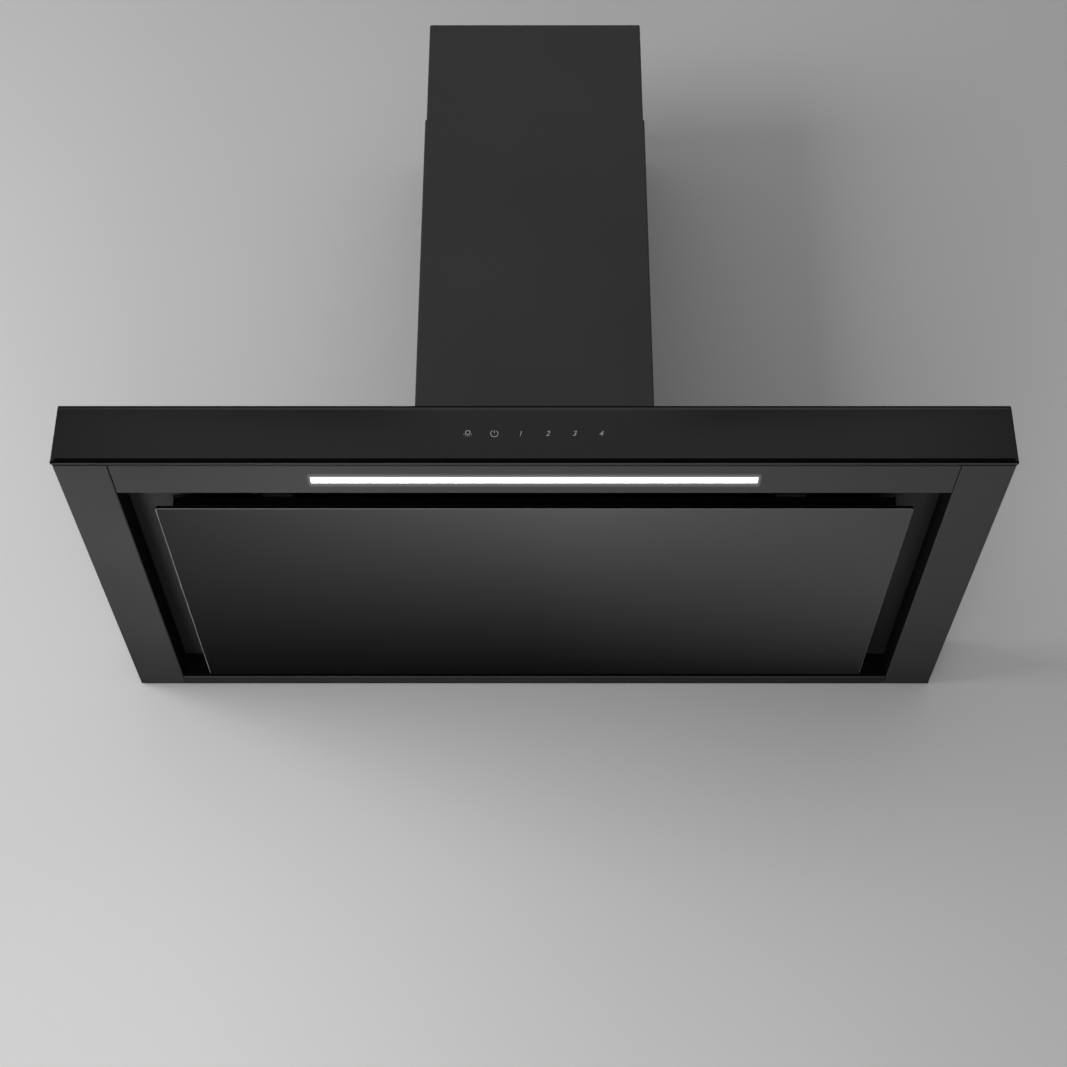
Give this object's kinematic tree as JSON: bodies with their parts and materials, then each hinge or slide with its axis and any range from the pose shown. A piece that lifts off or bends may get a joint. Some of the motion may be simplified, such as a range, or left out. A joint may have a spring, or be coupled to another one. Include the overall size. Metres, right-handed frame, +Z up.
{
  "type": "chimney range hood",
  "caption": "Wall-mounted chimney range hood: shallow black canopy with a hinged perimeter-intake glass panel, lamp strip, blower, filters and a telescoping duct cover.",
  "frame": {"origin": "middle of the canopy's flat rear face, in the wall plane, half way up the canopy", "axes": "+Z up, -Y out of the wall towards the cook, +X to the right seen from the front"},
  "size_m": [0.9, 0.4813, 0.7708],
  "materials": {
    "black_steel": "satin black powder coat",
    "cover_steel": "satin black powder coat",
    "black_trim": "semi-gloss black",
    "black_glass": "black back-painted glass",
    "panel_glass": "black back-painted glass",
    "opal_plastic": "opal",
    "aluminium": "mill finish",
    "black_aluminium": "black anodised",
    "black_mesh": "black anodised expanded mesh",
    "zinc_steel": "galvanised",
    "nickel_steel": "nickel plated",
    "circuit_board": "solder mask",
    "black_plastic": "moulded",
    "grey_plastic": "moulded",
    "white_plastic": "moulded",
    "windings": "enamelled copper"
  },
  "bodies": {
    "hood": {"canopy_top": "black_steel", "side_rail_right": "black_steel", "side_rail_left": "black_steel", "front_rail": "black_steel", "rear_rail": "black_steel", "intake_tray": "black_steel", "front_glass": "black_glass", "front_trim": "black_trim", "touch_board": "circuit_board", "touch_board_cover": "black_plastic", "light_diffuser": "opal_plastic", "light_channel": "aluminium", "led_board": "circuit_board", "led_driver": "white_plastic", "control_box": "black_plastic", "filter_frame_right": "black_aluminium", "filter_frame_left": "black_aluminium", "filter_mesh_right": "black_mesh", "filter_mesh_left": "black_mesh", "hinge_bracket_right": "zinc_steel", "hinge_bracket_left": "zinc_steel", "magnetic_catch_right": "black_plastic", "magnetic_catch_left": "black_plastic", "air_box": "zinc_steel", "air_box_cover": "zinc_steel", "hanging_plate": "zinc_steel", "cable_gland": "grey_plastic", "run_capacitor": "white_plastic", "scroll_half_right": "black_plastic", "scroll_half_left": "black_plastic", "outlet_adapter": "black_plastic", "motor_stator": "windings", "motor_can": "zinc_steel", "motor_end_bell": "zinc_steel", "motor_spider": "zinc_steel", "outlet_collar": "black_plastic", "damper_pin": "nickel_steel", "lower_duct_cover": "cover_steel"},
    "perimeter_panel": {"panel_glass": "panel_glass", "panel_pan": "black_steel", "hinge_leaf_right": "zinc_steel", "hinge_leaf_left": "zinc_steel", "hinge_pin_right": "nickel_steel", "hinge_pin_left": "nickel_steel", "striker_right": "zinc_steel", "striker_left": "zinc_steel"},
    "upper_cover": {"upper_duct_cover": "cover_steel", "upper_wall_bracket": "zinc_steel"},
    "impeller_wheel": {"impeller_disc": "grey_plastic", "impeller_blades_right": "grey_plastic", "impeller_blades_left": "grey_plastic", "motor_shaft": "nickel_steel", "motor_rotor": "zinc_steel"},
    "flap_left": {"damper_flap_left": "grey_plastic"},
    "flap_right": {"damper_flap_right": "grey_plastic"},
    "latch_left": {"filter_latch_left": "nickel_steel"},
    "latch_right": {"filter_latch_right": "nickel_steel"}
  },
  "joints": [
    {"name": "panel_hinge", "type": "hinge", "parent": "hood", "child": "perimeter_panel", "pos_m": [0, -0.034, -0.02], "axis": [1, 0, 0], "range_deg": [0, 90]},
    {"name": "upper_cover_slide", "type": "slide", "parent": "hood", "child": "upper_cover", "axis": [0, 0, 1], "range_m": [-0.15, 0.3]},
    {"name": "impeller_spin", "type": "hinge", "parent": "hood", "child": "impeller_wheel", "pos_m": [0, -0.098, 0.14], "axis": [1, 0, 0], "continuous": true},
    {"name": "flap_left_swing", "type": "hinge", "parent": "hood", "child": "flap_left", "pos_m": [0, -0.14, 0.292], "axis": [0, 1, 0], "range_deg": [0, 80]},
    {"name": "flap_right_swing", "type": "hinge", "parent": "hood", "child": "flap_right", "pos_m": [0, -0.14, 0.292], "axis": [0, -1, 0], "range_deg": [0, 80]},
    {"name": "latch_left_slide", "type": "slide", "parent": "hood", "child": "latch_left", "axis": [0, 1, 0], "range_m": [0, 0.007], "stiffness_N_per_m": 300, "springref_m": -0.01},
    {"name": "latch_right_slide", "type": "slide", "parent": "hood", "child": "latch_right", "axis": [0, 1, 0], "range_m": [0, 0.007], "stiffness_N_per_m": 300, "springref_m": -0.01}
  ]
}
